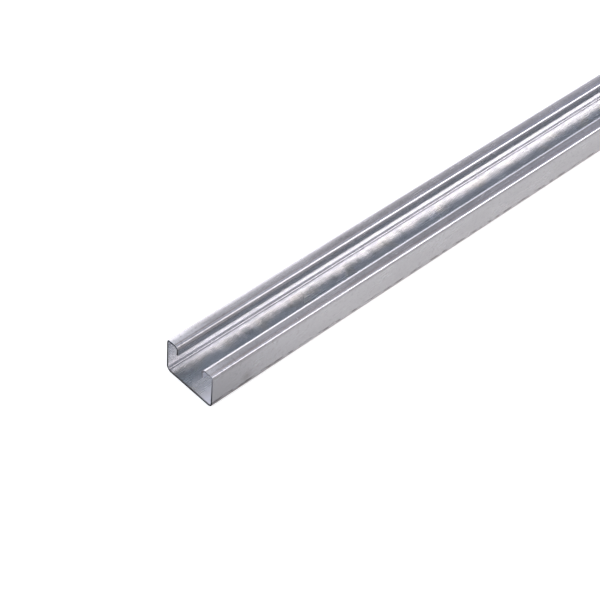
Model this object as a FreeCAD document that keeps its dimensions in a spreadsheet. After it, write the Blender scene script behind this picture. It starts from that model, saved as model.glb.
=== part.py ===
"""Lipped C channel: one length of roll-formed, galvanised steel rail.

A single strip of sheet is folded along its length six times: two bends join
the plain web to the side walls, two turn the walls inward into lips, and two
turn the lips down into short returns that lean back towards the walls. The
slot between the returns runs the whole length and both ends are cut square.

Frame, in millimetres: the length lies along Y and is centred on it, X is
across the width, and the back of the web lies on Z = 0 with the slot facing
up. Only half of the section is drawn, to the right of the centre plane, and
its prism is mirrored.
"""

import FreeCAD
import Part
import Sketcher
import math
import os

NODE = "c_channel"

# Driving dimensions, in millimetres and degrees
SIZES = {
    "rail_length": 1000.0,
    "rail_width": 38.0,
    "rail_height": 25.0,
    "sheet": 1.25,
    "slot_width": 19.0,
    "web_bend": 2.5,
    "shoulder_bend": 0.8,
    "lip_bend": 2.2,
    "return_depth": 6.8,
    "return_lean": 6.0,
    "slit_round": 0.3,
}

# Numbers for a curve's points, and for the section's origin and upright axis
START, END, CENTRE = range(1, 4)
ORIGIN, UPRIGHT_AXIS = range(-1, -3, -1)


def fill_sheet(doc):
    """Put each driving dimension in a cell of its own, with its name beside it."""
    sheet = doc.addObject("Spreadsheet::Sheet", "Sizes")
    for row, (name, value) in enumerate(SIZES.items(), start=1):
        sheet.set(f"A{row}", name)
        sheet.set(f"B{row}", str(value))
        sheet.setAlias(f"B{row}", name)
    doc.recompute()
    return sheet


def origin_plane(body, role):
    """Find one of the body's own base planes by its role."""
    for feature in body.Origin.OriginFeatures:
        if feature.Role == role:
            return feature
    raise RuntimeError(f"no {role} in {body.Name}")


def crossing(point_a, heading_a, point_b, heading_b):
    """Meet of two straight lines, each given by a point and a heading in radians."""
    ax, az = math.cos(heading_a), math.sin(heading_a)
    bx, bz = math.cos(heading_b), math.sin(heading_b)
    gap_x = point_b[0] - point_a[0]
    gap_z = point_b[1] - point_a[1]
    reach = (gap_x * bz - gap_z * bx) / (ax * bz - az * bx)
    return (point_a[0] + reach * ax, point_a[1] + reach * az)


def half_section_corners(size):
    """Sharp corners of the half section, each with the radius that rounds it.

    They run from the centre of the web's back, up the outside to the slit
    edge of the return, and back down the inside to the centre of the web.
    """
    sheet = size["sheet"]
    half = size["rail_width"] / 2
    top = size["rail_height"]
    edge = size["slit_round"]
    web_in = size["web_bend"]
    web_out = web_in + sheet
    shoulder_in = size["shoulder_bend"]
    shoulder_out = shoulder_in + sheet
    lip_in = size["lip_bend"]
    lip_out = lip_in + sheet

    # The slot face of the return touches the lip's outer bend and leans outward as
    # it goes down, and the slit edge crosses it square.
    lean = math.radians(size["return_lean"])
    down = lean - math.pi / 2
    bend_x = size["slot_width"] / 2 + lip_out
    bend_z = top - lip_out
    slot_face = (bend_x - lip_out * math.cos(lean), bend_z - lip_out * math.sin(lean))
    wall_face = (bend_x - lip_in * math.cos(lean), bend_z - lip_in * math.sin(lean))
    to_tip = (slot_face[1] - edge - (top - size["return_depth"]) + edge * math.sin(lean)) / math.cos(lean)
    tip_depth = to_tip + edge
    slit = (slot_face[0] + tip_depth * math.sin(lean), slot_face[1] - tip_depth * math.cos(lean))

    return [
        (0.0, 0.0, 0.0),
        (half, 0.0, web_out),
        (half, top, shoulder_out),
        (*crossing((0.0, top), 0.0, slot_face, down), lip_out),
        (*slit, edge),
        (*crossing(slit, lean, wall_face, down), edge),
        (*crossing((0.0, top - sheet), 0.0, wall_face, down), lip_in),
        (half - sheet, top - sheet, shoulder_in),
        (half - sheet, sheet, web_in),
        (0.0, sheet, 0.0),
    ]


def draw_rounded_outline(sketch, corners):
    """Draw a closed outline with tangent arcs at its rounded corners.

    Returns the index of the straight run that leaves each corner, and of the
    arc at each rounded corner.
    """
    points = [FreeCAD.Vector(x, z, 0) for x, z, _ in corners]
    count = len(points)
    arrivals = []
    departures = []
    arc_shapes = []
    for i, (_, _, radius) in enumerate(corners):
        back = (points[i - 1] - points[i]).normalize()
        ahead = (points[(i + 1) % count] - points[i]).normalize()
        if radius == 0:
            arrivals.append(points[i])
            departures.append(points[i])
            arc_shapes.append(None)
            continue
        half_angle = back.getAngle(ahead) / 2
        trim = radius / math.tan(half_angle)
        arrival = points[i] + back * trim
        departure = points[i] + ahead * trim
        middle = (back + ahead).normalize()
        nearest = points[i] + middle * (radius / math.sin(half_angle) - radius)
        arrivals.append(arrival)
        departures.append(departure)
        arc_shapes.append(Part.Arc(arrival, nearest, departure))

    runs = []
    for i in range(count):
        run = Part.LineSegment(departures[i], arrivals[(i + 1) % count])
        runs.append(sketch.addGeometry(run, False))

    arcs = {}
    for i, shape in enumerate(arc_shapes):
        if shape is None:
            sketch.addConstraint(Sketcher.Constraint("Coincident", runs[i - 1], END, runs[i], START))
            continue
        arcs[i] = sketch.addGeometry(shape, False)
        starts_first = sketch.getPoint(arcs[i], START).distanceToPoint(arrivals[i]) < 1e-6
        first = START if starts_first else END
        last = END if starts_first else START
        sketch.addConstraint(Sketcher.Constraint("Tangent", runs[i - 1], END, arcs[i], first))
        sketch.addConstraint(Sketcher.Constraint("Tangent", runs[i], START, arcs[i], last))
    return runs, arcs


def bind(sketch, kind, place, value, name, formula):
    """Add a dimension to the sketch and tie it to the sheet by a formula."""
    index = sketch.addConstraint(Sketcher.Constraint(kind, *place, value))
    sketch.renameConstraint(index, name)
    sketch.setExpression(f"Constraints.{name}", formula)


def draw_half_section(body, size):
    """Sketch the right half of the folded strip, fully constrained."""
    sketch = body.newObject("Sketcher::SketchObject", "HalfSection")
    sketch.AttachmentSupport = [(origin_plane(body, "XZ_Plane"), "")]
    sketch.MapMode = "FlatFace"
    corners = half_section_corners(size)
    runs, arcs = draw_rounded_outline(sketch, corners)
    web_back, wall_out, lip_top, slot_face, slit, wall_face, lip_under, wall_in, web_in, middle = runs
    web_bend_out, shoulder_out, lip_out = arcs[1], arcs[2], arcs[3]
    tip_first, tip_last = arcs[4], arcs[5]
    lip_in, shoulder_in, web_bend_in = arcs[6], arcs[7], arcs[8]

    for level in (web_back, lip_top, lip_under, web_in):
        sketch.addConstraint(Sketcher.Constraint("Horizontal", level))
    for upright in (wall_out, wall_in):
        sketch.addConstraint(Sketcher.Constraint("Vertical", upright))
    sketch.addConstraint(Sketcher.Constraint("Coincident", web_back, START, ORIGIN, START))
    sketch.addConstraint(Sketcher.Constraint("PointOnObject", middle, START, UPRIGHT_AXIS))
    sketch.addConstraint(Sketcher.Constraint("Perpendicular", slot_face, slit))
    sketch.addConstraint(Sketcher.Constraint("Parallel", slot_face, wall_face))

    # The two arcs of each bend share their centre, which carries the sheet's
    # thickness round the fold from the web to the return.
    for outside, inside in (
        (web_bend_out, web_bend_in),
        (shoulder_out, shoulder_in),
        (lip_out, lip_in),
    ):
        sketch.addConstraint(Sketcher.Constraint("Coincident", outside, CENTRE, inside, CENTRE))
    sketch.addConstraint(Sketcher.Constraint("Equal", tip_first, tip_last))

    half = size["rail_width"] / 2
    top = size["rail_height"]
    bend_x = size["slot_width"] / 2 + size["lip_bend"] + size["sheet"]
    tip_z = top - size["return_depth"] + size["slit_round"]
    lean = math.radians(size["return_lean"])
    bind(sketch, "DistanceX", (ORIGIN, START, wall_out, START), half, "HalfWidth", "Sizes.rail_width / 2")
    bind(sketch, "DistanceY", (ORIGIN, START, lip_top, START), top, "Height", "Sizes.rail_height")
    bind(sketch, "DistanceY", (ORIGIN, START, middle, START), size["sheet"], "Sheet", "Sizes.sheet")
    bind(sketch, "Radius", (web_bend_in,), size["web_bend"], "WebBend", "Sizes.web_bend")
    bind(sketch, "Radius", (shoulder_in,), size["shoulder_bend"], "ShoulderBend", "Sizes.shoulder_bend")
    bind(sketch, "Radius", (lip_in,), size["lip_bend"], "LipBend", "Sizes.lip_bend")
    bind(sketch, "Radius", (tip_first,), size["slit_round"], "SlitRound", "Sizes.slit_round")
    bind(
        sketch, "DistanceX", (ORIGIN, START, lip_out, CENTRE), bend_x, "LipBendPlace",
        "Sizes.slot_width / 2 + Sizes.lip_bend + Sizes.sheet",
    )
    bind(
        sketch, "DistanceY", (ORIGIN, START, tip_first, CENTRE), tip_z, "TipPlace",
        "Sizes.rail_height - Sizes.return_depth + Sizes.slit_round",
    )
    bind(
        sketch, "Angle", (lip_top, START, slot_face, START), math.pi / 2 + lean, "Lean",
        "90 deg + Sizes.return_lean * 1 deg",
    )
    return sketch


def build_channel(doc, size):
    """Pad the half section both ways along the length, then mirror it."""
    body = doc.addObject("PartDesign::Body", NODE)
    body.Label = NODE
    body.Placement = FreeCAD.Placement()
    sketch = draw_half_section(body, size)
    doc.recompute()
    if not sketch.FullyConstrained:
        raise RuntimeError("the section isn't fully constrained")

    pad = body.newObject("PartDesign::Pad", "HalfRail")
    pad.Profile = sketch
    pad.Midplane = True
    pad.setExpression("Length", "Sizes.rail_length")
    sketch.Visibility = False
    doc.recompute()

    mirror = body.newObject("PartDesign::Mirrored", "Rail")
    mirror.Originals = [pad]
    mirror.MirrorPlane = (origin_plane(body, "YZ_Plane"), [""])
    mirror.Refine = True
    body.Tip = mirror
    doc.recompute()
    if abs(body.Shape.Volume / pad.Shape.Volume - 2) > 1e-6:
        raise RuntimeError("the mirrored half didn't join")
    return body


def check_objects(doc, bodies):
    """Stop if any object failed, or if a body isn't one valid solid."""
    for item in doc.Objects:
        if "Invalid" in item.State or "Error" in item.State:
            raise RuntimeError(f"{item.Name} failed: {item.State}")
    for body in bodies:
        shape = body.Shape
        if shape.isNull() or not shape.isValid() or len(shape.Solids) != 1:
            raise RuntimeError(f"{body.Label} isn't one valid solid")


def main():
    doc = FreeCAD.newDocument("LippedChannel")
    fill_sheet(doc)
    channel = build_channel(doc, SIZES)
    check_objects(doc, [channel])

    os.makedirs("parts", exist_ok=True)
    channel.Shape.exportStep(os.path.join("parts", f"{channel.Label}.step"))
    box = channel.Shape.BoundBox
    print(f"{channel.Label}: {box.XLength:.2f} x {box.YLength:.2f} x {box.ZLength:.2f} mm,",
          f"{channel.Shape.Volume:.1f} mm3, {len(channel.Shape.Faces)} faces")


main()
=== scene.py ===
import bpy
import math
import numpy as np
from mathutils import Matrix, Vector


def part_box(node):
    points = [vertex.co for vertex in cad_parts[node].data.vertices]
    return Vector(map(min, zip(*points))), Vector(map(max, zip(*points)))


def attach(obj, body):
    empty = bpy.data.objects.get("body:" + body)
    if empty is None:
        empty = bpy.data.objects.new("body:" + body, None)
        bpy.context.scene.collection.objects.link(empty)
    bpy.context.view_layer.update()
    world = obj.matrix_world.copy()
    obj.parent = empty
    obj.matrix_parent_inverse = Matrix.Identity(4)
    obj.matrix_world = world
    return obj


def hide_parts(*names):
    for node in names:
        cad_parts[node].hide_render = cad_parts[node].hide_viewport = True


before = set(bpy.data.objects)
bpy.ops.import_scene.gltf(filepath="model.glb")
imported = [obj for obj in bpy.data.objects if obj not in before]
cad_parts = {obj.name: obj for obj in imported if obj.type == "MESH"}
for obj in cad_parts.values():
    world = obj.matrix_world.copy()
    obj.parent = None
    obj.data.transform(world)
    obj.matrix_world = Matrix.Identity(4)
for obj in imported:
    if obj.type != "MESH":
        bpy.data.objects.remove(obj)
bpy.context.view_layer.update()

RAIL = "c_channel"
MM = 0.001

# The folded strip, in millimetres
LOW, HIGH = (np.array(corner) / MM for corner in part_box(RAIL))
HALF_WIDTH = (HIGH[0] - LOW[0]) / 2
HALF_LENGTH = (HIGH[1] - LOW[1]) / 2
HEIGHT = HIGH[2] - LOW[2]
SHEET = 1.25
SLOT = 19.0
WEB_BEND = 2.5
SHOULDER_BEND = 0.8
LIP_BEND = 2.2
RETURN_DEPTH = 6.8
LEAN = math.radians(6.0)
SLIT_ROUND = 0.3

# The forming roll presses the inside of the web's fold tighter than the fold itself
PRESSED_BEND = 1.6

# Depths of the fine relief, in millimetres, with the stretch in which some of them fade
BOW, BOW_FADE = 0.45, 24.0
BLUNT, BLUNT_BACK, BLUNT_TO_LIP, BLUNT_TO_WALL = 0.24, 1.1, 1.45, 1.3
GROOVE_INSIDE, GROOVE_OUTSIDE, GROOVE_REACH = 0.014, 0.012, 0.16
RIPPLE = 0.006
DIMPLE = 0.034
FLARE, FLARE_FADE = 0.012, 22.0
END_ROUND = 0.09

# Ripples and dimples stop a margin short of each flat's edges and are weaker on the walls.
# Outside they start from a skin's depth behind the solid, and nothing stands proud of it.
WEB_MARGIN, WALL_MARGIN, MARGIN_FADE = 1.0, 0.5, 3.0
WALL_SHARE = 0.35
SKIN = 0.03

# Stations along the rail, in millimetres from an end: close together at first, then even
END_STATIONS = (0.0, 0.03, 0.09, 0.2, 0.6, 1.5, 3.0, 5.0, 7.5, 10.5, 14.0)
EVEN_FROM, EVEN_COUNT = 17.5, 264

# Places across the sheet, in millimetres from the web's centre, round the section
WEB_RIM = 15.4
FOLD_CREASE = 17.1
FOLD_BACK = 17.4
WALL_FOOT = 21.0
LOW_WALL = 25.0
WALL_TOP = 39.6
SHOULDER = 40.7
LIP_RIM = 45.8
LIP_CREST = 47.5
SLIT_EDGE = 53.4

# The sheet's map moves the outside this far to one side and the inside to the other, in metres
SIDE_SHIFT = 0.2

# Base colours of the zinc, with a dull and a bright one where its clouds mix two
OUTER_ZINC = (0.47, 0.465, 0.465), (0.57, 0.56, 0.56)
# The inside's colours are painted lighter than the outside's, standing in for light inside the
# channel
WARM_ZINC = (0.72, 0.715, 0.695), (0.85, 0.845, 0.81)
BLUISH_ZINC = (0.79, 0.82, 0.84), (0.89, 0.92, 0.935)
LILAC_ZINC = (0.715, 0.71, 0.73), (0.85, 0.845, 0.87)
# Painted highlight on the lips near the cut ends
PAINTED_LIP_HIGHLIGHT = (0.88, 0.88, 0.89)
# Painted light on the outside walls
PAINTED_WALL_LIGHT = (0.66, 0.65, 0.65)
# Painted highlights along the right shoulder and lip crest
PAINTED_HIGHLIGHT_LINE = (0.79, 0.785, 0.79)
YELLOWISH = (0.86, 0.835, 0.75)
# Painted shade and painted light in patches along the edge of the web's reflected light
PAINTED_SHADE_PATCH = (0.34, 0.36, 0.36)
PAINTED_LIGHT_PATCH = (0.97, 0.965, 0.93)
# Painted light on both sides of the web's fold
PAINTED_FOLD_LIGHT = (0.97, 0.965, 0.975)
# Painted highlight on the inside's right-hand part near the cut ends
PAINTED_END_HIGHLIGHT = (0.93, 0.92, 0.95)
# Colour of the dirt, and of the painted shade
DIRT_AND_SHADE = (0.15, 0.135, 0.125)

# The cut ends, and the floor to the light, in the metal and to the camera
SAWN_STEEL = (0.004, 0.004, 0.005)
SMEARED_ZINC = (0.27, 0.255, 0.275)
FLOOR_SHEET = (0.83, 0.772, 0.712)
FLOOR_MIRRORED = (1.0, 0.94, 0.88)
WHITE = (1.0, 1.0, 1.0)
GLOW_SEEN, GLOW_MIRRORED = 0.62, 0.22


def fold_path():
    """Half of the strip's middle line, from the centre of the web to the slit edge.

    The heading turns evenly along each bend and stays still along each flat, so
    it is read off a line of arc length against heading. A step along the path is
    the chord of its arc: its length times sin(turn / 2) / (turn / 2), along the
    mean heading. Returns arc length, x, z and heading, one value a sample, and
    the arc lengths at which flats and bends meet.
    """
    web_mid = WEB_BEND + SHEET / 2
    shoulder_mid = SHOULDER_BEND + SHEET / 2
    lip_mid = LIP_BEND + SHEET / 2
    lip_out = LIP_BEND + SHEET
    web_flat = HALF_WIDTH - WEB_BEND - SHEET
    wall_flat = HEIGHT - WEB_BEND - SHOULDER_BEND - 2 * SHEET
    lip_flat = HALF_WIDTH - SHOULDER_BEND - SHEET - SLOT / 2 - lip_out
    lip_turn = math.pi / 2 + LEAN
    drop = RETURN_DEPTH - lip_out * (1 + math.sin(LEAN)) - SLIT_ROUND * (1 - math.sin(LEAN))
    return_flat = drop / math.cos(LEAN) + SLIT_ROUND

    # Length, turn and number of samples of each flat and bend
    spans = [
        (web_flat, 0.0, 17),
        (web_mid * math.pi / 2, math.pi / 2, 18),
        (wall_flat, 0.0, 13),
        (shoulder_mid * math.pi / 2, math.pi / 2, 9),
        (lip_flat, 0.0, 6),
        (lip_mid * lip_turn, lip_turn, 14),
        (return_flat, 0.0, 4),
    ]
    lengths, turns, samples = zip(*spans)
    knots = np.concatenate([[0.0], np.cumsum(lengths)])
    headings = np.concatenate([[0.0], np.cumsum(turns)])
    pieces = [np.linspace(low, high, count, endpoint=False)
              for low, high, count in zip(knots[:-1], knots[1:], samples)]
    s = np.concatenate([*pieces, knots[-1:]])
    heading = np.interp(s, knots, headings)
    turn = np.diff(heading)
    chord = np.diff(s) * np.sinc(turn / (2 * math.pi))
    mean = heading[:-1] + turn / 2
    x = np.concatenate([[0.0], np.cumsum(chord * np.cos(mean))])
    z = SHEET / 2 + np.concatenate([[0.0], np.cumsum(chord * np.sin(mean))])
    return s, x, z, heading, knots


def outline():
    """The closed outline of the folded strip, as points with outward normals.

    The middle line runs from the left slit edge to the right one. Its two faces
    are half a sheet's thickness away along the normal, and a quarter circle of
    the slit's rounding joins each face to the flat of the slit edge. Returns x,
    z, normal x, normal z, the place along the strip and the side, +1 outside
    and -1 inside; then how many points a face and a slit edge have, and the
    arc lengths at which flats and bends meet.
    """
    s, x, z, heading, knots = fold_path()
    s = np.concatenate([-s[:0:-1], s])
    x = np.concatenate([-x[:0:-1], x])
    z = np.concatenate([z[:0:-1], z])
    heading = np.concatenate([-heading[:0:-1], heading])
    out_x, out_z = np.sin(heading), -np.cos(heading)
    half = SHEET / 2

    def face(side):
        """The strip's outer face for side +1, or its inner face for side -1."""
        return (x + side * half * out_x, z + side * half * out_z,
                side * out_x, side * out_z, s, np.full_like(s, side))

    def slit(end):
        """The slit edge at one end of the strip, from its outer face to its inner one."""
        sign = 1 if end == -1 else -1
        ahead_x = sign * math.cos(heading[end])
        ahead_z = sign * math.sin(heading[end])
        quarter = np.linspace(0.0, math.pi / 2, 5)
        turn = np.concatenate([quarter, math.pi - quarter[::-1]])
        side = np.repeat([1.0, -1.0], len(quarter))
        across = side * (half - SLIT_ROUND) + SLIT_ROUND * np.cos(turn)
        along = SLIT_ROUND * (np.sin(turn) - 1)
        return (x[end] + across * out_x[end] + along * ahead_x,
                z[end] + across * out_z[end] + along * ahead_z,
                np.cos(turn) * out_x[end] + np.sin(turn) * ahead_x,
                np.cos(turn) * out_z[end] + np.sin(turn) * ahead_z,
                s[end] + sign * (half - np.abs(across)), side)

    outer = [column[1:-1] for column in face(1)]
    inner = [column[-2:0:-1] for column in face(-1)]
    right_slit = slit(-1)
    left_slit = [column[::-1] for column in slit(0)]
    parts = zip(outer, right_slit, inner, left_slit)
    return [np.concatenate(part) for part in parts], len(outer[0]), len(right_slit[0]), knots


def pressed(heading):
    """How far the inside of the web's fold lies behind its own arc, by the heading.

    Seen from the fold's centre, the surface is the web's plane up to the smaller
    arc, then that arc, then the wall's plane. The distance to a plane is the bend
    radius over the cosine of the angle to it. The arc's distance is the root of
    the circle's equation along the ray. The bend radius is taken off the result.
    """
    turn = np.clip(np.abs(heading), 0.0, math.pi / 2)
    turn = np.minimum(turn, math.pi / 2 - turn)
    shift = WEB_BEND - PRESSED_BEND
    lean = shift * (np.sin(turn) + np.cos(turn))
    arc = lean + np.sqrt(np.maximum(lean ** 2 - 2 * shift ** 2 + PRESSED_BEND ** 2, 0.0))
    plane = WEB_BEND / np.cos(turn)
    return np.where(turn < math.atan2(shift, WEB_BEND), plane, arc) - WEB_BEND


def waves(rng, count, s, y, width_range, length_range):
    """A field of long ripples: a sum of sines with seeded phases.

    Each sine has its own wavelength across the strip and along it, and the sum
    is divided by the root of their number, so its spread is about 0.7.
    """
    total = np.zeros(np.broadcast(s, y).shape)
    for _ in range(count):
        across = 2 * math.pi / rng.uniform(*width_range)
        along = 2 * math.pi / rng.uniform(*length_range)
        total += np.sin(across * s + along * y * rng.choice([-1, 1]) + rng.uniform(0, 2 * math.pi))
    return total / math.sqrt(count)


def faded_in(distance):
    """Straight rise over a margin's fade, from 0 at its edge to 1."""
    return np.clip(distance / MARGIN_FADE, 0, 1)


def depth_behind(rows, s, side, knots):
    """How far each point of the skin lies behind the plain strip, in millimetres.

    Rows hold Y and columns the place along the strip. The depth is the sum of
    the pressed inside of the web's fold; a roll groove at each bend's edge, a
    narrow bell curve; the blunted outside of the shoulder, a wide bell curve
    that runs out on the lip and the wall; the web's bow, a parabola that both
    faces share and that dies out at the ends; ripples, dimples and a flare
    towards the ends, which fade before each bend; and a quarter circle's
    rounding of the ends themselves.
    """
    place = np.abs(s)
    inset = HALF_LENGTH - np.abs(rows)
    web_end, fold_end, wall_end, shoulder_end = knots[1:5]

    grooves = sum(np.exp(-((place - knot) / GROOVE_REACH) ** 2) for knot in knots[1:5])
    grooves = grooves * np.where(side < 0, GROOVE_INSIDE, GROOVE_OUTSIDE)

    turned = (place - web_end) / (fold_end - web_end)
    folded = (side < 0) & (turned > 0) & (turned < 1)
    fold = np.where(folded, pressed(turned * math.pi / 2), 0.0)

    past = place - (shoulder_end - BLUNT_BACK)
    reach = np.where(past > 0, BLUNT_TO_LIP, BLUNT_TO_WALL)
    blunt = np.where(side > 0, BLUNT * np.exp(-(past / reach) ** 2), 0.0)

    settled = 1 - np.exp(-(inset / BOW_FADE) ** 2)
    bow = BOW * side * np.clip(1 - (s / web_end) ** 2, 0, None) * settled

    rng = np.random.default_rng(38)
    ripple = waves(rng, 7, s, rows, (9, 24), (90, 420)) * RIPPLE
    dimples = waves(rng, 9, s, rows, (12, 28), (15, 34)) * DIMPLE
    flare = waves(rng, 5, s, rows, (10, 22), (16, 50)) * FLARE * np.exp(-inset / FLARE_FADE)
    web = faded_in(web_end - WEB_MARGIN - place)
    wall = faded_in(place - fold_end - WALL_MARGIN) * faded_in(wall_end - WALL_MARGIN - place)
    relief = (ripple + dimples + flare) * (web + WALL_SHARE * wall)
    relief = np.where(side < 0, relief, np.maximum(relief + SKIN, 0.0))

    worn = np.clip(1 - inset / END_ROUND, 0, 1)
    trim = END_ROUND * (1 - np.sqrt(1 - worn ** 2))
    return grooves + fold + blunt + bow + relief + trim


def skin_quads(n_rows, n_columns):
    """Quads between neighbouring rows and columns, closed round the outline."""
    row = np.arange(n_rows - 1)[:, None] * n_columns
    here = np.arange(n_columns)[None, :]
    following = (here + 1) % n_columns
    corners = [row + here, row + following, row + n_columns + following, row + n_columns + here]
    return np.stack(corners, -1).reshape(-1, 4).tolist()


def end_faces(n_face, n_slit, last):
    """Both cut ends: quads between the sheet's two faces, and one polygon at each slit edge.

    The near end's points are numbered from 0 and the far end's from last.
    """
    outer = np.arange(n_face)
    right_slit = np.arange(n_face, n_face + n_slit)
    inner = np.arange(n_face + n_slit, 2 * n_face + n_slit)[::-1]
    left_slit = np.arange(2 * n_face + n_slit, 2 * (n_face + n_slit))
    near = np.stack([outer[:-1], inner[:-1], inner[1:], outer[1:]], -1).tolist()
    near.append([outer[-1], inner[-1], *right_slit[::-1]])
    near.append([outer[0], *left_slit[::-1], inner[0]])
    return near + [[last + i for i in face[::-1]] for face in near]


def build_rail():
    """The rail as one closed surface: the outline carried along Y.

    A point lies at the outline's place for its column and the station's y for
    its row, moved inward along the outline's normal by the relief's depth. The
    map's first value is the place along the strip plus or minus the shift of its
    side, and its second is y.
    """
    (x, z, nx, nz, s, side), n_face, n_slit, knots = outline()
    first = np.array(END_STATIONS)
    even = np.linspace(EVEN_FROM, 2 * HALF_LENGTH - EVEN_FROM, EVEN_COUNT)
    y = np.concatenate([first, even, 2 * HALF_LENGTH - first[::-1]]) - HALF_LENGTH
    rows = y[:, None]
    columns = len(s)
    depth = depth_behind(rows, s, side, knots)

    grid = np.empty((len(y), columns, 3))
    grid[..., 0] = x - nx * depth
    grid[..., 1] = rows
    grid[..., 2] = z - nz * depth
    skin = skin_quads(len(y), columns)
    ends = end_faces(n_face, n_slit, (len(y) - 1) * columns)

    mesh = bpy.data.meshes.new("rail_strip")
    mesh.from_pydata((grid.reshape(-1, 3) * MM).tolist(), [], skin + ends)
    loops = np.empty(len(mesh.loops), dtype=np.int64)
    mesh.loops.foreach_get("vertex_index", loops)
    column = loops % columns

    # All four corners of a quad in the skin take the side of its first column
    lead = column.copy()
    lead[:4 * len(skin)] = np.repeat(np.arange(len(skin)) % columns, 4)
    spot = np.stack([s[column] * MM + SIDE_SHIFT * side[lead], y[loops // columns] * MM], -1)
    mesh.uv_layers.new(name="strip").data.foreach_set("uv", spot.ravel())

    cut = np.arange(len(skin) + len(ends)) >= len(skin)
    mesh.polygons.foreach_set("material_index", cut.astype(np.int32))
    mesh.polygons.foreach_set("use_smooth", ~cut)
    mesh.validate()
    mesh.update()
    rail = bpy.data.objects.new("rail_strip", mesh)
    bpy.context.collection.objects.link(rail)
    return rail


class Wire:
    """A node socket that takes part in Python arithmetic by adding Math nodes."""

    def __init__(self, shop, socket):
        self.shop = shop
        self.socket = socket

    def _math(self, operation, *values):
        return self.shop.add("ShaderNodeMath", operation=operation, inputs=values)

    def __add__(self, other):
        return self._math("ADD", self, other)

    def __radd__(self, other):
        return self._math("ADD", other, self)

    def __sub__(self, other):
        return self._math("SUBTRACT", self, other)

    def __rsub__(self, other):
        return self._math("SUBTRACT", other, self)

    def __mul__(self, other):
        return self._math("MULTIPLY", self, other)

    def __rmul__(self, other):
        return self._math("MULTIPLY", other, self)

    def __truediv__(self, other):
        return self._math("DIVIDE", self, other)

    def __rtruediv__(self, other):
        return self._math("DIVIDE", other, self)

    def __abs__(self):
        return self._math("ABSOLUTE", self)

    def lesser(self, other):
        return self._math("MINIMUM", self, other)

    def greater(self, other):
        return self._math("MAXIMUM", self, other)


class Shop:
    """The node tree of one finish, and the one method that adds nodes to it."""

    def __init__(self, tree):
        self.tree = tree

    def add(self, kind, inputs=(), out=0, ramp=None, **settings):
        """Add a node: its settings first, then its inputs' values or links, by place or name."""
        node = self.tree.nodes.new(kind)
        for key, value in settings.items():
            setattr(node, key, value)
        if ramp is not None:
            stops = node.color_ramp.elements
            while len(stops) > 1:
                stops.remove(stops[-1])
            for i, (place, light) in enumerate(ramp):
                stop = stops[0] if i == 0 else stops.new(place)
                stop.position = place
                stop.color = light
        pairs = inputs.items() if isinstance(inputs, dict) else enumerate(inputs)
        for key, value in pairs:
            if isinstance(value, Wire):
                self.tree.links.new(value.socket, node.inputs[key])
            else:
                node.inputs[key].default_value = value
        return Wire(self, node.outputs[out])

    def mix(self, factor, first, second):
        """Blend of two colours, from first at 0 to second at 1."""
        return self.add("ShaderNodeMix", {0: factor, 6: first, 7: second}, out=2, data_type="RGBA")

    def step(self, value, low, high):
        """Smooth rise from 0 at low to 1 at high."""
        inputs = {0: value, 1: low, 2: high}
        return self.add("ShaderNodeMapRange", inputs, interpolation_type="SMOOTHSTEP")

    def rise(self, value, low, high):
        """Straight rise from 0 at low to 1 at high."""
        return self.add("ShaderNodeMapRange", {0: value, 1: low, 2: high})

    def noise(self, vector, scale, detail, rough, warp=0.0):
        """Cloudy noise about 0.5 over a vector."""
        return self.add("ShaderNodeTexNoise", {"Vector": vector, "Scale": scale, "Detail": detail,
                                               "Roughness": rough, "Distortion": warp})

    def close(self, kind, shader):
        """Lead a shader to the tree's output node."""
        output = self.tree.nodes.new(kind)
        self.tree.links.new(shader.socket, output.inputs["Surface"])


def colour(r, g, b):
    return (r, g, b, 1.0)


def finish_named(name):
    """An empty material and the shop that fills its node tree."""
    material = bpy.data.materials.new(name)
    material.use_nodes = True
    material.node_tree.nodes.clear()
    return material, Shop(material.node_tree)


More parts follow.
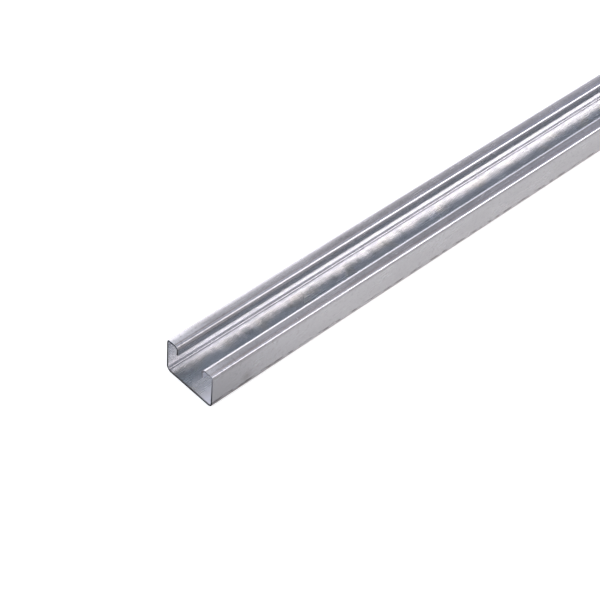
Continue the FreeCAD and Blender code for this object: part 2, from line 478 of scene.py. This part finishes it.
class Strip:
    """Masks and noises that follow the sheet, shared by its colour, its dirt and painted shade,
    and its bump.

    Out is the place across in millimetres from the web's centre, and end is the
    distance to the nearer cut end. The other masks are 1 inside the section,
    right of the centre outside, and on the right-hand part of the inside.
    """

    def __init__(self, shop):
        self.shop = shop
        self.spot = shop.add("ShaderNodeUVMap", uv_map="strip")
        across = shop.add("ShaderNodeSeparateXYZ", {0: self.spot})
        along = shop.add("ShaderNodeSeparateXYZ", {0: self.spot}, out=1)
        self.out = abs(abs(across) - SIDE_SHIFT) * (1 / MM)
        self.end = HALF_LENGTH - abs(along) * (1 / MM)
        self.inside = shop.rise(across, -SIDE_SHIFT / 4, -SIDE_SHIFT / 2)
        self.right_outside = shop.rise(across, SIDE_SHIFT - MM, SIDE_SHIFT + MM)
        right = shop.rise(across, 4 * MM - SIDE_SHIFT, 13 * MM - SIDE_SHIFT)
        self.right_inside = self.inside * right

        self.cloud = self.noise((1.0, 0.35), (0.0, 0.0), 95.0, 4.0, 0.55, 0.4)
        self.broad = self.noise((1.0, 0.2), (0.3, 0.1), 32.0, 2.0, 0.5)
        self.streak = self.noise((1.0, 0.012), (0.0, 0.7), 900.0, 3.0, 0.6)
        self.fleck = self.noise((1.0, 0.7), (0.8, 0.5), 1100.0, 2.0, 0.6)
        self.blotch = self.noise((1.0, 0.8), (0.5, 0.4), 72.0, 3.0, 0.5, 0.5)
        # Noise for the inside's relief and for its patches of painted light and shade
        self.brushed_and_painted_shading = self.noise((0.45, 1.0), (0.1, 0.3), 82.0, 3.0, 0.6, 0.6)
        flakes = {"Vector": self.laid((1.0, 0.6), (0.0, 0.0)), "Scale": 190.0}
        flake = shop.add("ShaderNodeTexVoronoi", flakes, out=1)
        self.grain = shop.add("ShaderNodeSeparateColor", {0: flake})
        tone = ((self.cloud - 0.5) * 0.5 + (self.streak - 0.5) * 0.35 + (self.broad - 0.5) * 0.4
                + (self.fleck - 0.5) * 0.6 + (self.grain - 0.5) * 0.07)
        self.patch = shop.step(tone, -0.3, 0.3)

    def laid(self, stretch, offset):
        """The sheet's map, scaled and moved across and along."""
        inputs = {0: self.spot, 1: (*offset, 0.0), 3: (*stretch, 1.0)}
        return self.shop.add("ShaderNodeMapping", inputs)

    def noise(self, stretch, offset, scale, detail, rough, warp=0.0):
        return self.shop.noise(self.laid(stretch, offset), scale, detail, rough, warp)

    def line(self, place, reach):
        """1 on a line along the rail at a place across, and 0 past its reach."""
        return (1.0 - abs(self.out - place) * (1.0 / reach)).greater(0.0)

    def toward_ends(self, noise, spread, start, full):
        """Smooth rise towards the cut ends, between two distances that a noise moves."""
        return self.shop.step(self.end + (noise - 0.5) * spread, start, full)

    def clouded(self, dull, bright):
        """Two colours of the zinc, mixed by its clouds, streaks and flecks."""
        return self.shop.mix(self.patch, colour(*dull), colour(*bright))

    def coated(self, ground, *coats):
        """A colour under coats, each of them a cover from 0 to 1 and its own colour."""
        for cover, tint in coats:
            ground = self.shop.mix(cover, ground, colour(*tint))
        return ground


def outer_zinc(strip):
    """Greyer zinc outside the section.

    It carries a painted highlight on the lips near the cut ends and painted light
    that makes the walls a little lighter, and on the right painted highlights run
    along the shoulder and the crest of the lip's bend.
    """
    shop = strip.shop
    lip = shop.rise(strip.out, 40.0, 42.0) * shop.rise(strip.out, 47.0, 45.0)
    # Painted highlight on the lips towards the cut ends
    lip_highlight = strip.toward_ends(strip.cloud, 50.0, 24.0, 2.0) * lip
    # Painted light that makes the walls a little lighter
    wall = shop.rise(strip.out, 41.0, 39.5)
    # Painted highlights along the shoulder and the crest of the lip's bend, on the right
    painted_highlights = strip.line(SHOULDER, 1.2) * 0.75 + strip.line(LIP_CREST, 1.5) * 0.85
    return strip.coated(
        strip.clouded(*OUTER_ZINC),
        (lip_highlight * 0.7, PAINTED_LIP_HIGHLIGHT),
        (wall * 0.28, PAINTED_WALL_LIGHT),
        (strip.right_outside * painted_highlights, PAINTED_HIGHLIGHT_LINE),
    )


def inner_zinc(strip, worn):
    """Brighter zinc inside the section, painted lighter than the outside to stand in for light
    inside the channel.

    The web is bluish along its middle and warm beside it, with yellowish
    blotches. In a zone between the two, strongest towards the cut ends, patches of
    painted shade and painted light feather the edge of the light that the web
    reflects. The walls have a lilac cast, both sides of the web's fold carry
    painted light, and the right wall is rougher near the cut ends and carries a
    painted highlight there.
    """
    shop = strip.shop
    middle = shop.step(strip.out + (strip.blotch - 0.5) * 9.0, 12.0, 7.0)
    zone = shop.step(strip.out, 5.5, 9.0) * shop.step(strip.out, 15.0, 12.5)
    zone = zone * (0.4 + shop.step(strip.end, 270.0, 110.0) * 0.6)
    web = strip.coated(
        shop.mix(middle, strip.clouded(*WARM_ZINC), strip.clouded(*BLUISH_ZINC)),
        (shop.step(strip.blotch, 0.52, 0.7) * 0.7, YELLOWISH),
        # Patches of painted shade and painted light along the edge of the web's reflected light
        (zone * shop.step(strip.brushed_and_painted_shading, 0.52, 0.38) * 0.45, PAINTED_SHADE_PATCH),
        (zone * shop.step(strip.brushed_and_painted_shading, 0.52, 0.64) * 0.75, PAINTED_LIGHT_PATCH),
    )
    # Painted light on both sides of the web's fold
    fold_light = strip.line(WEB_RIM, 1.8) * 0.55 + strip.line(WALL_FOOT, 1.8) * 0.5
    return strip.coated(
        shop.mix(shop.step(strip.out, 14.0, 17.0), web, strip.clouded(*LILAC_ZINC)),
        (fold_light, PAINTED_FOLD_LIGHT),
        # Painted highlight near the cut ends
        (worn, PAINTED_END_HIGHLIGHT),
    )


def dirt_and_shade(strip, dashes):
    """How far dirt and painted shade darken the zinc, from 0 to 0.95.

    Outside they are dashes at the wall's foot, painted dark lines below the
    shoulder, along the right lip's rim and down the slit edge, painted shade along
    the outside of the web's fold near the cut ends, a darkening towards the cut
    ends, and a smudge near them. Inside they are painted shade in the inside corner
    of the web's fold and near the cut ends, apart from the right wall. Specks and a
    darkening along the web's cut edges are on both.
    """
    shop = strip.shop
    # Painted dark lines below the shoulder, along the right lip's rim and down the slit edge
    painted_dark_lines = (strip.line(WALL_TOP, 0.7) * 0.35 + strip.line(SLIT_EDGE, 1.9) * 0.55
              + strip.line(LIP_RIM, 0.9) * 0.4 * strip.right_outside)
    # Painted shade along the outside of the web's fold near the cut ends
    painted_foot_shade = strip.line(FOLD_BACK, 3.9) * strip.toward_ends(strip.cloud, 30.0, 85.0, 20.0) * 0.75
    # Darker towards the cut ends
    end_darkening = strip.toward_ends(strip.broad, 30.0, 60.0, 0.0) * 0.22
    smudge = strip.line(LOW_WALL, 5.0) * (1.0 - abs(strip.end - 25.0) * 0.2).greater(0.0) * 0.35
    outside = (dashes + painted_dark_lines + painted_foot_shade + end_darkening + smudge) * (1.0 - strip.inside)

    # Painted shade in the inside corner of the web's fold
    painted_fold_shade = strip.line(FOLD_CREASE, 1.3) * 0.3
    # Painted shade towards the cut ends
    painted_end_shade = strip.toward_ends(strip.cloud, 24.0, 34.0, 0.0) * 0.27
    within = (painted_fold_shade + painted_end_shade * (1.0 - strip.right_inside)) * strip.inside

    speck = strip.noise((1.0, 0.6), (0.2, 0.9), 620.0, 2.0, 0.5)
    specks = shop.step(speck, 0.56, 0.70) * (0.2 - strip.inside * 0.14)
    # Darker along the web's cut edges
    cut_edge_darkening = shop.step(strip.end, 0.6, 0.3) * shop.step(strip.out, 19.0, 15.0) * 0.8
    return (outside + within + specks + cut_edge_darkening).lesser(0.95)


def galvanised():
    """Strip-galvanised sheet: cloudy zinc with soft spangle, roll streaks, scuff marks, dirt, and
    painted light and shade.
    """
    material, shop = finish_named("galvanised_sheet")
    strip = Strip(shop)
    rub = strip.noise((1.0, 0.4), (0.6, 0.2), 330.0, 2.0, 0.5)
    dashes = strip.line(WALL_FOOT, 1.0) * shop.step(rub, 0.48, 0.54)
    # Rougher near the cut ends on the inside's right-hand part, where its base colour also carries
    # a painted highlight
    worn = strip.right_inside * strip.toward_ends(strip.cloud, 16.0, 34.0, 6.0)
    # Inside, the zinc is painted lighter to stand in for light inside the channel
    zinc = shop.mix(strip.inside, outer_zinc(strip), inner_zinc(strip, worn))
    # Dirt and painted shade darken the zinc
    base = shop.mix(dirt_and_shade(strip, dashes), zinc, colour(*DIRT_AND_SHADE))

    rough = (0.25 + (strip.cloud - 0.5) * 0.14 + (strip.streak - 0.5) * 0.1
             + (strip.grain - 0.5) * 0.03 + dashes * 0.15 + worn * 0.12)
    height = (strip.streak * 0.3 + strip.fleck * 0.25 + strip.cloud * 0.4
              + (strip.blotch + strip.brushed_and_painted_shading) * 3.0 * strip.inside
              + strip.grain * 0.05 - dashes * (1.0 - strip.inside) * 0.4)
    bump = shop.add("ShaderNodeBump", {"Strength": 0.1, "Distance": 0.0004, "Height": height})
    surface = shop.add("ShaderNodeBsdfPrincipled", {"Base Color": base, "Metallic": 0.75,
                                                    "Roughness": rough, "Normal": bump})
    shop.close("ShaderNodeOutputMaterial", surface)
    return material


def cut_steel():
    """The bare face that the saw leaves: dark, finely scored, with zinc smeared over its top."""
    material, shop = finish_named("cut_steel")
    spot = shop.add("ShaderNodeTexCoord", out=3)
    across = shop.add("ShaderNodeMapping", {0: spot, 2: (0.0, 0.6, 0.0), 3: (1.0, 1.0, 0.2)})
    scoring = shop.noise(across, 5200.0, 2.0, 0.6)
    stain = shop.noise(spot, 420.0, 3.0, 0.6)
    sideways = shop.add("ShaderNodeSeparateXYZ", {0: spot})
    upward = shop.add("ShaderNodeSeparateXYZ", {0: spot}, out=2)
    mottle = (stain - 0.5) * 0.5 + (scoring - 0.5) * 0.3
    smear = shop.step(sideways * 26.0 + upward * 40.0 + mottle, 0.6, 1.4)
    base = shop.mix(smear, colour(*SAWN_STEEL), colour(*SMEARED_ZINC))
    rough = 0.5 + (stain - 0.5) * 0.3
    bump = shop.add("ShaderNodeBump", {"Strength": 0.4, "Distance": 0.00005, "Height": scoring})
    surface = shop.add("ShaderNodeBsdfPrincipled", {"Base Color": base, "Metallic": 1.0,
                                                    "Roughness": rough, "Normal": bump})
    shop.close("ShaderNodeOutputMaterial", surface)
    return material


rail = build_rail()
rail.data.materials.append(galvanised())
rail.data.materials.append(cut_steel())
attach(rail, "root")
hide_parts(RAIL)


def rays(shop):
    """Two masks: 1 for what the camera sees directly, and 1 for what metal or glass shows."""
    direct = shop.add("ShaderNodeLightPath", out="Is Camera Ray")
    glossy = shop.add("ShaderNodeLightPath", out="Is Glossy Ray")
    through = shop.add("ShaderNodeLightPath", out="Is Transmission Ray")
    return direct, glossy.greater(through)


def floor():
    """A pale sheet on which the rail lies, white where nothing shades it.

    Its glow brings it up to white for the camera. The metal shows a weaker and
    warmer glow, and none in front of the rail's near end.
    """
    reach = 12.0
    mesh = bpy.data.meshes.new("floor")
    corners = [(-reach, -reach, 0), (reach, -reach, 0), (reach, reach, 0), (-reach, reach, 0)]
    mesh.from_pydata(corners, [], [(0, 1, 2, 3)])
    sheet = bpy.data.objects.new("floor", mesh)
    bpy.context.collection.objects.link(sheet)
    material, shop = finish_named("pale_floor")
    direct, mirrored = rays(shop)
    spot = shop.add("ShaderNodeTexCoord", out=3)
    away = shop.add("ShaderNodeSeparateXYZ", {0: spot}, out=1)
    lit = shop.rise(away, -0.50, -0.40)
    diffuse = shop.add("ShaderNodeBsdfDiffuse", {0: colour(*FLOOR_SHEET)})
    hue = shop.mix(direct, colour(*FLOOR_MIRRORED), colour(*WHITE))
    strength = direct * GLOW_SEEN + mirrored * lit * GLOW_MIRRORED
    glow = shop.add("ShaderNodeEmission", {0: hue, 1: strength})
    shop.close("ShaderNodeOutputMaterial", shop.add("ShaderNodeAddShader", (diffuse, glow)))
    mesh.materials.append(material)


# Soft light in bands round the Y axis. A row is the angle from straight up toward +X, in
# degrees, and the light there for three bands: the first is mirrored by the near end of the
# rail, the others by its middle and by its far part. A light is its radiance and its cast,
# which is 0 for plain, 1 for cold and -1 for warm.
BANDS = (
    (-90, (4.15, 0.2), (2.85, 0.3), (2.15, 0.4)),
    (-75, (3.65, 0.1), (1.6, 0.3), (1.2, 0.5)),
    (-60, (2.05, 0.0), (0.75, 0.0), (0.81, 0.1)),
    (-45, (1.8, 0.0), (0.31, -0.8), (0.76, -0.2)),
    (-30, (0.32, 0.4), (0.02, 0.0), (0.24, 1.4)),
    (-15, (0.42, -1.2), (0.35, -1.5), (0.39, -0.8)),
    (0, (1.05, 0.1), (0.69, 0.2), (0.66, 1.7)),
    (15, (0.65, 1.0), (0.02, 0.0), (0.02, 0.0)),
    (25, (0.02, 0.0), (0.02, 0.0), (0.02, 0.0)),
    (35, (3.2, 0.1), (6.0, 0.0), (4.6, 0.0)),
    (45, (1.5, -0.5), (5.4, -0.2), (4.85, -0.1)),
    (55, (0.04, 1.5), (1.15, 0.3), (1.25, 0.7)),
    (70, (0.25, -0.4), (0.11, 0.9), (0.02, 0.0)),
    (90, (0.63, -0.9), (0.52, -0.8), (0.3, -1.3)),
)
WARM, PLAIN, COLD = (1.2, 0.94, 0.86), (1.0, 0.97, 1.03), (0.8, 0.9, 1.3)
FRONT_LIGHT = (0.77, 0.88, 1.05)
BRIGHTEST = 8.0

# How far a direction points toward +Y where one light gives way to the next
FRONT_TO_NEAR = (0.25, 0.35)
NEAR_TO_MIDDLE = (0.49, 0.58)
MIDDLE_TO_FAR = (0.58, 0.67)


def cast_light(radiance, cast):
    """A light: the plain tint moved toward the cold or the warm one, times its radiance."""
    toward = COLD if cast > 0 else WARM
    return [radiance * (plain + (far - plain) * abs(cast)) for plain, far in zip(PLAIN, toward)]


def dimmed(light):
    """A light as a share of the brightest one, because a ramp holds nothing above 1."""
    return colour(*(value / BRIGHTEST for value in light))


def sky():
    """White to the camera; in the metal and as light, bands of soft light round the Y axis."""
    world = bpy.data.worlds.new("studio")
    bpy.context.scene.world = world
    world.use_nodes = True
    world.node_tree.nodes.clear()
    shop = Shop(world.node_tree)
    direct, _ = rays(shop)
    toward = shop.add("ShaderNodeTexCoord")
    x, y, z = (shop.add("ShaderNodeSeparateXYZ", {0: toward}, out=axis) for axis in range(3))
    turn = shop.add("ShaderNodeMath", operation="ARCTAN2", inputs=(x, z)) / math.pi + 0.5

    def band(number):
        stops = [((row[0] + 90) / 180, dimmed(cast_light(*row[number]))) for row in BANDS]
        return shop.add("ShaderNodeValToRGB", {0: turn}, ramp=stops)

    near = shop.mix(shop.rise(y, *NEAR_TO_MIDDLE), band(1), band(2))
    back = shop.mix(shop.rise(y, *MIDDLE_TO_FAR), near, band(3))
    dome = shop.mix(shop.rise(y, *FRONT_TO_NEAR), dimmed(FRONT_LIGHT), back)
    shown = shop.mix(direct, dome, dimmed(WHITE))
    shop.close("ShaderNodeOutputWorld", shop.add("ShaderNodeBackground", {0: shown, 1: BRIGHTEST}))


def camera():
    """Over the near end, with the view's own slight roll."""
    right = Vector((0.68971, 0.72066, 0.07037))
    up = Vector((-0.54926, 0.45738, 0.69937))
    back = right.cross(up)
    place = Vector((0.42126, -0.88183, 0.65043))
    eye = bpy.data.cameras.new("camera")
    eye.sensor_width = 36.0
    eye.lens = 93.69
    eye.clip_start = 0.05
    eye.clip_end = 60.0
    holder = bpy.data.objects.new("camera", eye)
    bpy.context.collection.objects.link(holder)
    turn = Matrix((right, up, back)).transposed().to_4x4()
    holder.matrix_world = Matrix.Translation(place) @ turn
    bpy.context.scene.camera = holder


floor()
sky()
camera()
bpy.context.scene.view_settings.view_transform = "Standard"
